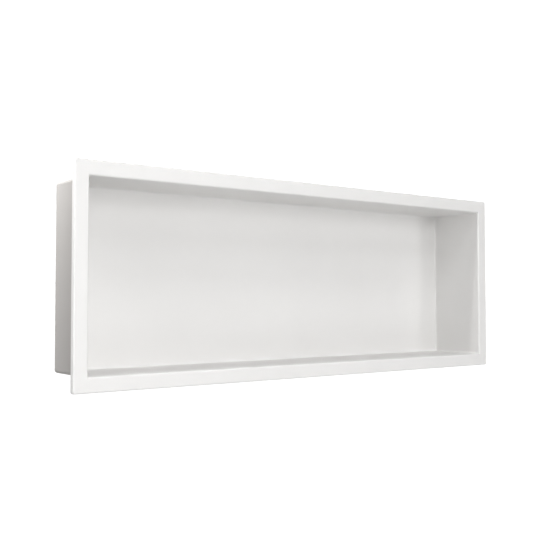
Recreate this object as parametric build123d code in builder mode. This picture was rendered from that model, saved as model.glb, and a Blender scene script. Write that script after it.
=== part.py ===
from build123d import *
import os

os.makedirs("parts", exist_ok=True)

# Shower niche insert: an open-fronted tub of coated sheet steel that goes into a cut-out in a wall.
# A flat flange surrounds its opening, and the flange's edge is folded back to meet the wall.
# The origin is the centre of the lip's rear rim, on the face of the wall,
# with +X to the right, +Y into the wall and +Z up.

# Driving dimensions, in millimetres
opening_width = 600  # clear width between the side walls
opening_height = 200  # clear height between floor and ceiling
niche_depth = 80  # from the flange's front face to the inner face of the back panel
sheet = 1.2  # thickness of the steel sheet
flange_width = 16  # face of the flange, from the opening to its outer edge
lip_depth = 6  # folded-back edge of the flange, from its front face to the wall
tub_bend = 2.5  # inside radius of the tub's folds
rim_bend = 1  # inside radius of the fold between tub and flange
lip_bend = 0.4  # inside radius of the fold between flange and lip
lip_corner = 0.8  # inside radius of the lip's welded corners
opening_corner = 0.6  # radius of the opening's welded corners
rim_land = 0.2  # straight part of those corners behind the round rim of the opening

# Sizes that follow from them
flange_outer_width = opening_width + 2 * flange_width
flange_outer_height = opening_height + 2 * flange_width
rim_radius = rim_bend + sheet

# Planes across the depth, each with X to the right, Z up and its normal towards the room
wall_face = Plane.XZ
flange_rear = wall_face.offset(lip_depth - sheet)
flange_front = wall_face.offset(lip_depth)


def tub_block(growth):
    """Solid block behind the flange, grown outwards from the tub's inner faces, with round folds."""
    with BuildPart() as block:
        with BuildSketch(flange_rear):
            Rectangle(opening_width + 2 * growth, opening_height + 2 * growth)
        extrude(amount=-(niche_depth - sheet + growth))
        back = block.faces().sort_by(Axis.Y)[-1]
        folds = back.edges() + block.edges().filter_by(Axis.Y)
        fillet(folds, tub_bend + growth)
    return block.part


tub_outside = tub_block(sheet)
tub_inside = tub_block(0)

with BuildPart() as niche_insert:
    # Flange and lip start as one plate from the wall to the flange's front face
    with BuildSketch(wall_face):
        RectangleRounded(flange_outer_width, flange_outer_height, lip_corner + sheet)
    extrude(amount=lip_depth)
    front_face = niche_insert.faces().sort_by(Axis.Y)[0]
    fillet(front_face.edges(), lip_bend + sheet)

    # Hollow behind the flange, which leaves the lip standing all round
    with BuildSketch(wall_face):
        RectangleRounded(flange_outer_width - 2 * sheet, flange_outer_height - 2 * sheet, lip_corner)
    extrude(amount=lip_depth - sheet, mode=Mode.SUBTRACT)
    rear_face = niche_insert.faces().filter_by(Axis.Y).sort_by(Axis.Y)[1]
    fillet(rear_face.edges(), lip_bend)

    # Tub, folded back from the flange and then hollowed to the sheet's thickness
    add(tub_outside)
    rear_face = niche_insert.faces().filter_by(Axis.Y).sort_by(Axis.Y)[1]
    fillet(rear_face.inner_wires()[0].edges(), rim_bend)
    add(tub_inside, mode=Mode.SUBTRACT)

    # Opening through the flange, with tight corners and the round front of the fold as its rim
    with BuildSketch(flange_front):
        RectangleRounded(opening_width, opening_height, opening_corner)
    extrude(amount=-(rim_radius + rim_land), mode=Mode.SUBTRACT)
    front_face = niche_insert.faces().sort_by(Axis.Y)[0]
    fillet(front_face.inner_wires()[0].edges(), rim_radius)

niche_insert.part.label = "niche_insert"
export_step(niche_insert.part, "parts/niche_insert.step")
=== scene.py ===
import bpy
import math
import numpy as np
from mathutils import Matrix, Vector


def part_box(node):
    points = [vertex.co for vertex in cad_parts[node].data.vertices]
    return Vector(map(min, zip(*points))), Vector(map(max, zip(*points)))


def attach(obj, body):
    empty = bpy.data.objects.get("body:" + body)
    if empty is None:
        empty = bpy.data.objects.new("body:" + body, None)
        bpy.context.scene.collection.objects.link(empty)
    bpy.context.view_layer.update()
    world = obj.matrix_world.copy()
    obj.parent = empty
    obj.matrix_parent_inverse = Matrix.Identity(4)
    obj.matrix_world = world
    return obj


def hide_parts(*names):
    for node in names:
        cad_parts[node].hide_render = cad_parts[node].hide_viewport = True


# White shower niche: one folded steel tub with a flange, over a pale floor in soft studio light.
# In metres, in the part's own frame: +X right, +Y into the wall, +Z up, wall face at y = 0.

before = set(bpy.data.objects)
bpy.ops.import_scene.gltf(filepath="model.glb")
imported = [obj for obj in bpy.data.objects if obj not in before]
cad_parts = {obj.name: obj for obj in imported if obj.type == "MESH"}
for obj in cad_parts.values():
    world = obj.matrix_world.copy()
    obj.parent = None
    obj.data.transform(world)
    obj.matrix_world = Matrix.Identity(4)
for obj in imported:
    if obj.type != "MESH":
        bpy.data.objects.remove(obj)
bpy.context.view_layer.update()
low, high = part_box("niche_insert")
millimetre = 0.001
collection = bpy.context.scene.collection
print("frame loaded, niche is", [round(side / millimetre, 1) for side in high - low], "mm")

# The niche's folded sheet
nicheShell = {
    "flangeWidth": 16.0 * millimetre,   # from the opening to the flange's outer edge
    "sheet": 1.2 * millimetre,          # steel with its coating
    "tubBend": 2.5 * millimetre,        # inside radius of the tub's folds
    "rimBend": 1.0 * millimetre,        # inside radius of the fold between tub and flange
    "lipBend": 0.4 * millimetre,        # inside radius of the fold between flange and lip
    "lipCorner": 0.8 * millimetre,      # inside radius of the lip's corners
    "openingCorner": 0.6 * millimetre,  # radius of the opening's corners
    "rimLand": 0.2 * millimetre,        # straight part of those corners behind the round rim
    "roomToneReach": 7.0 * millimetre,      # how far the room-side tone reaches round the lip's rear rim before the painted shade of the hidden side
    "bendSteps": 10,                    # grid steps round each fold
    "cornerSteps": 16,                  # grid steps round each corner of the outline, an even number
    "cornerCrowding": 1.5,              # 1 spaces those evenly, more crowds them in the corner's middle
    "weldGap": 0.0001 * millimetre,     # points nearer than this are one
}


# A fold in section is a quarter circle about its centre:
# out = centre + radius * cos(turn) and depth = centre + radius * sin(turn).
# Rows are out, depth, corner centre, corner inset and the unit normal, from the fold's centre or to it.
def foldRows(out, depth, radius, startDeg, endDeg, facing, cornerCentre, inset=0):
    turn = np.radians(np.linspace(startDeg, endDeg, nicheShell["bendSteps"] + 1))
    across, along = np.cos(turn), np.sin(turn)
    ones = np.ones_like(turn)
    return np.stack([
        out + radius * across,
        depth + radius * along,
        cornerCentre * ones,
        inset * ones,
        facing * across,
        facing * along,
    ], axis=1)


# A crease in section: one row where two flat stretches meet, with no normal of its own.
def creaseRow(out, depth, cornerCentre, inset=0):
    return np.array([[out, depth, cornerCentre, inset, 0, 0]])


# The sheet's section, from the middle of the inner back panel out over the flange and lip,
# and home along the outside to the middle of the outer back panel. Out is from the opening's edge.
# Also returns the number of the fold or crease that each row belongs to.
def sheetSection(halfHeight, frontY, backY):
    sheet, tubBend, rimBend = nicheShell["sheet"], nicheShell["tubBend"], nicheShell["rimBend"]
    width, lipBend = nicheShell["flangeWidth"], nicheShell["lipBend"]
    lipOut = width - lipBend - sheet                     # centre of the fold between flange and lip
    lipY = frontY + lipBend + sheet
    lipCentre = width - nicheShell["lipCorner"] - sheet  # centre of the lip's corners
    rimRadius = rimBend + sheet
    rimY = frontY + rimRadius                            # centre of the fold between tub and flange
    webY = rimY + nicheShell["rimLand"]                  # tight corners give way to the tub's folds
    inset = tubBend - nicheShell["openingCorner"]
    bendY = backY - sheet - tubBend                      # centre of the folds at the back panel
    runs = [
        creaseRow(-halfHeight, backY - sheet, -halfHeight),
        foldRows(-tubBend, bendY, tubBend, 90, 0, -1, -tubBend),
        creaseRow(0, webY, -tubBend),
        creaseRow(0, webY, -tubBend, inset),
        foldRows(rimRadius, rimY, rimRadius, 180, 270, 1, -tubBend, inset),
        foldRows(lipOut, lipY, lipBend + sheet, -90, 0, 1, lipCentre),
        creaseRow(width, 0, lipCentre),
        creaseRow(width - sheet, 0, lipCentre),
        foldRows(lipOut, lipY, lipBend, 0, -90, -1, lipCentre),
        foldRows(rimRadius, rimY, rimBend, 270, 180, -1, -tubBend),
        foldRows(-tubBend, bendY, tubBend + sheet, 0, 90, 1, -tubBend),
        creaseRow(-halfHeight, backY, -halfHeight),
    ]
    fold = np.concatenate([np.full(len(rows), number) for number, rows in enumerate(runs)])
    return np.concatenate(runs), fold


# The section carried round the opening. Each row's outline is the opening's rectangle grown by out,
# and its corners are met by rays from the corner centre:
# across = reach * |cos(turn)| and up = reach * |sin(turn)|.
# With no inset the reach is the corner's radius, out - corner centre. An inset moves the round part
# outwards and tightens it by as much, so a ray meets a straight side, half / max(|cos|, |sin|),
# or the smaller circle. Also returns which way each point of the outline faces.
def carriedGrid(section, halfWidth, halfHeight, quarter, turn):
    out, depth, centre, inset = section.T[:4, :, None]
    half = out - centre
    across, up = abs(np.cos(turn)), abs(np.sin(turn))
    larger, smaller = np.maximum(across, up), np.minimum(across, up)
    lean = inset * (across + up)
    circle = lean + np.sqrt(np.maximum(lean ** 2 - 2 * inset ** 2 + (half - inset) ** 2, 0))
    reach = np.where(smaller * half > larger * inset, circle, half / larger)
    sideX = np.array([1, -1, -1, 1])[quarter]
    sideZ = np.array([1, 1, -1, -1])[quarter]
    x = sideX * (halfWidth + centre + reach * across)
    z = sideZ * (halfHeight + centre + reach * up)
    facing = np.maximum(np.stack([reach * across - inset, reach * up - inset], axis=2), 0)
    span = np.linalg.norm(facing, axis=2, keepdims=True)
    facing = facing / np.where(span > 0, span, 1) * np.stack([sideX, sideZ], axis=1)
    return np.stack([x, np.broadcast_to(depth, x.shape), z], axis=2), facing


# Normals for the four corners of each grid face: the section's own, turned the way the outline faces.
# A stretch inside a fold takes the fold's normals, and a flat one stands square to itself throughout.
def carriedNormals(section, fold, facing):
    step = np.diff(section[:, :2], axis=0)
    length = np.hypot(step[:, 0], step[:, 1])[:, None]
    flat = np.stack([step[:, 1], -step[:, 0]], axis=1) / np.where(length > 0, length, 1)
    flat = np.where(length > 0, flat, [0, -1])  # a step in the corners alone faces the front
    curved = (fold[1:] == fold[:-1])[:, None]
    start = np.where(curved, section[:-1, 4:], flat)
    end = np.where(curved, section[1:, 4:], flat)

    def turned(normal, facing):
        outward, alongDepth = normal[:, :1], normal[:, 1:]
        alongDepth = np.broadcast_to(alongDepth, facing.shape[:2])
        return np.stack([outward * facing[:, :, 0], alongDepth, outward * facing[:, :, 1]], axis=2)

    after = np.roll(facing, -1, axis=1)
    return np.stack([turned(start, facing[:-1]), turned(end, facing[1:]),
                     turned(end, after[1:]), turned(start, after[:-1])], axis=2)


# One closed mesh from the grid: points that fall together are welded, and faces left with no area go.
def weldedMesh(name, grid, normals, roomShare):
    points = grid.reshape(-1, 3)
    key = np.round(points / nicheShell["weldGap"]).astype(np.int64)
    _, first, welded = np.unique(key, axis=0, return_index=True, return_inverse=True)
    index = welded.reshape(grid.shape[:2])
    after = np.roll(index, -1, axis=1)
    corners = np.stack([index[:-1], index[1:], after[1:], after[:-1]], axis=2).reshape(-1, 4)
    kept = corners != np.roll(corners, 1, axis=1)  # a corner that repeats the one before it goes
    kept &= kept.sum(axis=1, keepdims=True) >= 3
    sides = kept.sum(axis=1)
    sides = sides[sides > 0]

    mesh = bpy.data.meshes.new(name)
    mesh.vertices.add(len(first))
    mesh.vertices.foreach_set("co", points[first].ravel())
    mesh.loops.add(kept.sum())
    mesh.loops.foreach_set("vertex_index", corners[kept].astype(np.int32))
    mesh.polygons.add(len(sides))
    mesh.polygons.foreach_set("loop_start", (np.cumsum(sides) - sides).astype(np.int32))
    mesh.polygons.foreach_set("use_smooth", np.ones(len(sides), bool))
    mesh.update(calc_edges=True)
    mesh.normals_split_custom_set(normals.reshape(-1, 4, 3)[kept].tolist())
    # Share of the room-side tone at each point; the rest gets the painted shade of the hidden side
    toneShareLayer = mesh.attributes.new("roomToneShare", "FLOAT", "POINT")
    toneShareLayer.data.foreach_set("value", np.repeat(roomShare, grid.shape[1])[first].astype(np.float32))
    return mesh


# Share of the room-side tone, full on the room side and fading past the lip's rear rim into the painted
# shade of the hidden side:
# share = 1 - (length along the section past that rim) / the reach of the room-side tone.
def roomToneShare(section):
    step = np.diff(section[:, :2], axis=0, prepend=section[:1, :2])
    length = np.cumsum(np.hypot(step[:, 0], step[:, 1]))
    rim = length[np.argmax(section[:, 1] == 0)]  # the first row on the wall face
    return np.clip(1 - (length - rim) / nicheShell["roomToneReach"], 0, 1)


def makeShell():
    halfWidth = high.x - nicheShell["flangeWidth"]
    halfHeight = high.z - nicheShell["flangeWidth"]
    steps = np.linspace(-1, 1, nicheShell["cornerSteps"] + 1)
    steps = np.sign(steps) * abs(steps) ** nicheShell["cornerCrowding"]
    quarter = np.repeat(np.arange(4), len(steps))
    turn = np.radians(90 * quarter + np.tile(45 + 45 * steps, 4))
    section, fold = sheetSection(halfHeight, low.y, high.y)
    grid, facing = carriedGrid(section, halfWidth, halfHeight, quarter, turn)
    normals = carriedNormals(section, fold, facing)
    mesh = weldedMesh("niche_shell", grid, normals, roomToneShare(section))
    piece = bpy.data.objects.new("niche_shell", mesh)
    collection.objects.link(piece)
    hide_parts("niche_insert")
    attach(piece, "root")
    print("niche shell:", len(mesh.polygons), "faces,", len(mesh.vertices), "points")
    return piece


shell = makeShell()

# Matt white powder coat on the room side; the side that the wall hides gets a greyer tone, which is
# painted shade
powderCoat = {
    "tone": (0.808, 0.802, 0.794, 1.0),
    "patchTone": (0.796, 0.790, 0.782, 1.0),   # a shade greyer, in broad faint patches
    "hiddenShadeTone": (0.592, 0.575, 0.560, 1.0),    # painted shade: a greyer tone on the tub's outer side, towards its back
    "cornerShadeTone": (0.452, 0.438, 0.426, 1.0),  # darker painted shade in the corner behind the flange
    "specular": 0.2,
    "roughness": (0.64, 0.72),
    "hiddenSideRoughness": 0.75,
    "patchSize": 120.0 * millimetre,
    "sheenSize": 30.0 * millimetre,            # patches that are a little more or less glossy
    "patchDetail": 3,
    "patchRange": (0.35, 0.65),                # noise values over which both kinds of patch come in
    "mottle": 0.35,                            # how uneven the edge between the room-side tone and the painted shade is
    "mottleSize": 4.0 * millimetre,
    "mottleDetail": 2,
    "mottleRange": (0.3, 0.7),
    "peelSize": 2.2 * millimetre,              # orange peel
    "peelHeight": 0.012 * millimetre,
    "grainSize": 0.5 * millimetre,             # powder grain in the peel
    "grainHeight": 0.002 * millimetre,
    "peelDetail": 1,                           # for peel and grain
}


def makePowderCoat():
    material = bpy.data.materials.new("powder_coat")
    material.use_nodes = True
    nodes, links = material.node_tree.nodes, material.node_tree.links
    shader = nodes["Principled BSDF"]
    shader.inputs["Specular IOR Level"].default_value = powderCoat["specular"]
    place = nodes.new("ShaderNodeTexCoord")

    # Noise on the piece's own coordinates, with lumps of about the given size
    def lumps(size, detail):
        noise = nodes.new("ShaderNodeTexNoise")
        noise.inputs["Scale"].default_value = 1 / size
        noise.inputs["Detail"].default_value = detail
        links.new(place.outputs["Object"], noise.inputs["Vector"])
        return noise.outputs["Fac"]

    def stretched(value, fromRange, toRange=(0, 1)):
        ramp = nodes.new("ShaderNodeMapRange")
        ramp.inputs["From Min"].default_value, ramp.inputs["From Max"].default_value = fromRange
        ramp.inputs["To Min"].default_value, ramp.inputs["To Max"].default_value = toRange
        links.new(value, ramp.inputs["Value"])
        return ramp.outputs["Result"]

    def mixedTone():
        mix = nodes.new("ShaderNodeMix")
        mix.data_type = "RGBA"
        return mix

    # The room-side share is the mesh's own, and the mottle moves the edge of the painted shade a little
    # either way
    roomShare = nodes.new("ShaderNodeAttribute")
    roomShare.attribute_name = "roomToneShare"
    half = powderCoat["mottle"] / 2
    mottle = lumps(powderCoat["mottleSize"], powderCoat["mottleDetail"])
    edge = nodes.new("ShaderNodeMath")
    links.new(roomShare.outputs["Fac"], edge.inputs[0])
    links.new(stretched(mottle, powderCoat["mottleRange"], (-half, half)), edge.inputs[1])
    full = stretched(edge.outputs["Value"], (half, 1 - half))

    patches = lumps(powderCoat["patchSize"], powderCoat["patchDetail"])
    patchy = mixedTone()
    patchy.inputs["A"].default_value = powderCoat["tone"]
    patchy.inputs["B"].default_value = powderCoat["patchTone"]
    links.new(stretched(patches, powderCoat["patchRange"]), patchy.inputs["Factor"])

    # Painted shade on the hidden side: darkest in the corner behind the flange, and paling from there to
    # the back
    spot = nodes.new("ShaderNodeSeparateXYZ")
    links.new(place.outputs["Object"], spot.inputs["Vector"])
    hiddenShade = mixedTone()
    hiddenShade.inputs["A"].default_value = powderCoat["cornerShadeTone"]
    hiddenShade.inputs["B"].default_value = powderCoat["hiddenShadeTone"]
    links.new(stretched(spot.outputs["Y"], (0, high.y)), hiddenShade.inputs["Factor"])

    # Room-side tone where the share is full, and the painted shade of the hidden side where it is not
    tone = mixedTone()
    links.new(full, tone.inputs["Factor"])
    links.new(hiddenShade.outputs["Result"], tone.inputs["A"])
    links.new(patchy.outputs["Result"], tone.inputs["B"])
    links.new(tone.outputs["Result"], shader.inputs["Base Color"])

    sheen = lumps(powderCoat["sheenSize"], powderCoat["patchDetail"])
    rough = nodes.new("ShaderNodeMix")
    rough.inputs["A"].default_value = powderCoat["hiddenSideRoughness"]
    links.new(full, rough.inputs["Factor"])
    links.new(stretched(sheen, powderCoat["patchRange"], powderCoat["roughness"]), rough.inputs["B"])
    links.new(rough.outputs["Result"], shader.inputs["Roughness"])

    # Orange peel with a fine grain on top
    peel = nodes.new("ShaderNodeBump")
    peel.inputs["Distance"].default_value = powderCoat["peelHeight"]
    links.new(lumps(powderCoat["peelSize"], powderCoat["peelDetail"]), peel.inputs["Height"])
    grain = nodes.new("ShaderNodeBump")
    grain.inputs["Distance"].default_value = powderCoat["grainHeight"]
    links.new(lumps(powderCoat["grainSize"], powderCoat["peelDetail"]), grain.inputs["Height"])
    links.new(peel.outputs["Normal"], grain.inputs["Normal"])
    links.new(grain.outputs["Normal"], shader.inputs["Normal"])
    return material


shell.data.materials.append(makePowderCoat())
print("powder coat ready")

# What lies round the niche
surroundings = {
    "glow": 0.164,     # even light on the niche
    "white": 1.1,      # brightness to the eye, a little past white so that it stays clean
    "contrast": 1.25,  # of the whole picture
}

# Pale studio floor, well below the niche
studioFloor = {
    "drop": 0.6,              # below the niche's lowest edge
    "reach": 12.0,            # half of its side
    "tone": (0.9, 0.9, 0.9, 1.0),
    "whiteFrom": (0.6, 1.1),  # distance from the middle over which it goes to plain white
    "paleShare": 0.5,         # how white the middle already is
}


# The floor takes soft shade near the middle, and further out it is as white as the surroundings.
# White share = smooth step of hypot(x, y) between the two distances, to the eye and not to the light.
def makeFloor():
    reach = studioFloor["reach"]
    height = low.z - studioFloor["drop"]
    outline = [(-reach, -reach), (reach, -reach), (reach, reach), (-reach, reach)]
    mesh = bpy.data.meshes.new("studio_floor")
    mesh.from_pydata([(x, y, height) for x, y in outline], [], [(0, 1, 2, 3)])
    material = bpy.data.materials.new("pale_floor")
    material.use_nodes = True
    nodes, links = material.node_tree.nodes, material.node_tree.links
    shader = nodes["Principled BSDF"]
    shader.inputs["Base Color"].default_value = studioFloor["tone"]
    white = nodes.new("ShaderNodeEmission")
    white.inputs["Strength"].default_value = surroundings["white"]
    place = nodes.new("ShaderNodeTexCoord")
    level = nodes.new("ShaderNodeMapping")
    level.inputs["Scale"].default_value = (1, 1, 0)  # x and y alone
    links.new(place.outputs["Object"], level.inputs["Vector"])
    length = nodes.new("ShaderNodeVectorMath")
    length.operation = "LENGTH"
    links.new(level.outputs["Vector"], length.inputs[0])
    share = nodes.new("ShaderNodeMapRange")
    share.interpolation_type = "SMOOTHSTEP"
    nearest, furthest = studioFloor["whiteFrom"]
    share.inputs["From Min"].default_value = nearest
    share.inputs["From Max"].default_value = furthest
    share.inputs["To Min"].default_value = studioFloor["paleShare"]
    links.new(length.outputs["Value"], share.inputs["Value"])
    path = nodes.new("ShaderNodeLightPath")
    seen = nodes.new("ShaderNodeMath")
    seen.operation = "MULTIPLY"
    links.new(share.outputs["Result"], seen.inputs[0])
    links.new(path.outputs["Is Camera Ray"], seen.inputs[1])
    mix = nodes.new("ShaderNodeMixShader")
    links.new(seen.outputs["Value"], mix.inputs["Fac"])
    links.new(shader.outputs["BSDF"], mix.inputs[1])
    links.new(white.outputs["Emission"], mix.inputs[2])
    links.new(mix.outputs["Shader"], nodes["Material Output"].inputs["Surface"])
    mesh.materials.append(material)
    floor = bpy.data.objects.new("studio_floor", mesh)
    collection.objects.link(floor)


makeFloor()

# Round lamps that face the niche: turn is degrees to the right of straight in front, rise is degrees
# above level, spread is the beam's width in degrees
studioLamps = {
    "frontLow": {"turn": 0, "rise": 10, "distance": 3.5, "size": 1.0, "spread": 180, "power": 20.1},
    "frontHigh": {"turn": 0, "rise": 40, "distance": 3.5, "size": 1.0, "spread": 180, "power": 14.7},
    "frontNear": {"turn": -20, "rise": 0, "distance": 0.9, "size": 0.25, "spread": 180, "power": 0.683},
    "leftNear": {"turn": -30, "rise": 0, "distance": 1.2, "size": 0.3, "spread": 180, "power": 1.32},
    "leftMiddle": {"turn": -30, "rise": 20, "distance": 1.2, "size": 0.3, "spread": 180, "power": 1.28},
    "leftHigh": {"turn": -30, "rise": 52, "distance": 2.4, "size": 0.5, "spread": 180, "power": 10.1},
    "rightLow": {"turn": 30, "rise": 0, "distance": 2.4, "size": 0.6, "spread": 180, "power": 6.71},
    "rightUnder": {"turn": 30, "rise": -25, "distance": 0.9, "size": 0.3, "spread": 180, "power": 0.242},
    "sideLow": {"turn": -85, "rise": 0, "distance": 0.75, "size": 0.35, "spread": 180, "power": 0.962},
    "sideRear": {"turn": -105, "rise": 30, "distance": 0.55, "size": 0.2, "spread": 180, "power": 0.678},
    "overhead": {"turn": -75, "rise": 72, "distance": 1.2, "size": 0.06, "spread": 180, "power": 3.45},
    "rearFill": {"turn": 180, "rise": 15, "distance": 2.4, "size": 1.2, "spread": 60, "power": 4.35},
    "rightFill": {"turn": 115, "rise": 20, "distance": 2.4, "size": 1.2, "spread": 60, "power": 2.7},
}


def makeLamp(name, lamp):
    turn, rise = math.radians(lamp["turn"]), math.radians(lamp["rise"])
    level = math.cos(rise)
    away = Vector((math.sin(turn) * level, -math.cos(turn) * level, math.sin(rise)))
    data = bpy.data.lights.new(name, "AREA")
    data.shape = "DISK"
    data.size = lamp["size"]
    data.spread = math.radians(lamp["spread"])
    data.energy = lamp["power"]
    light = bpy.data.objects.new(name, data)
    light.location = away * lamp["distance"]
    light.rotation_euler = away.to_track_quat("Z", "Y").to_euler()
    light.visible_camera = False
    collection.objects.link(light)


for name, lamp in studioLamps.items():
    makeLamp(name, lamp)


# White to the eye, and a dim even glow to the niche
def makeSurroundings():
    world = bpy.data.worlds.new("studio")
    world.use_nodes = True
    nodes, links = world.node_tree.nodes, world.node_tree.links
    glow = nodes["Background"]
    glow.inputs["Color"].default_value = (1.0, 1.0, 1.0, 1.0)
    glow.inputs["Strength"].default_value = surroundings["glow"]
    white = nodes.new("ShaderNodeBackground")
    white.inputs["Color"].default_value = (1.0, 1.0, 1.0, 1.0)
    white.inputs["Strength"].default_value = surroundings["white"]
    path = nodes.new("ShaderNodeLightPath")
    mix = nodes.new("ShaderNodeMixShader")
    links.new(path.outputs["Is Camera Ray"], mix.inputs["Fac"])
    links.new(glow.outputs["Background"], mix.inputs[1])
    links.new(white.outputs["Background"], mix.inputs[2])
    links.new(mix.outputs["Shader"], nodes["World Output"].inputs["Surface"])
    scene = bpy.context.scene
    scene.world = world
    scene.view_settings.view_transform = "Standard"
    scene.view_settings.gamma = 1 / surroundings["contrast"]


makeSurroundings()
print("floor and light ready")

# Camera at the photograph's viewing angle
photoCamera = {
    "place": (-0.6675, -0.7745, -0.0234),
    "turn": 37.429,  # degrees to the right of straight into the wall
    "tilt": 2.234,   # degrees above level
    "lens": 57.01,
    "sensor": 36.0,
}


def makeCamera():
    data = bpy.data.cameras.new("camera")
    data.lens = photoCamera["lens"]
    data.sensor_width = photoCamera["sensor"]
    camera = bpy.data.objects.new("camera", data)
    camera.location = photoCamera["place"]
    lift = math.radians(90 + photoCamera["tilt"])  # an unturned camera looks straight down
    camera.rotation_euler = (lift, 0, math.radians(-photoCamera["turn"]))
    collection.objects.link(camera)
    bpy.context.scene.camera = camera


makeCamera()
print("camera ready")
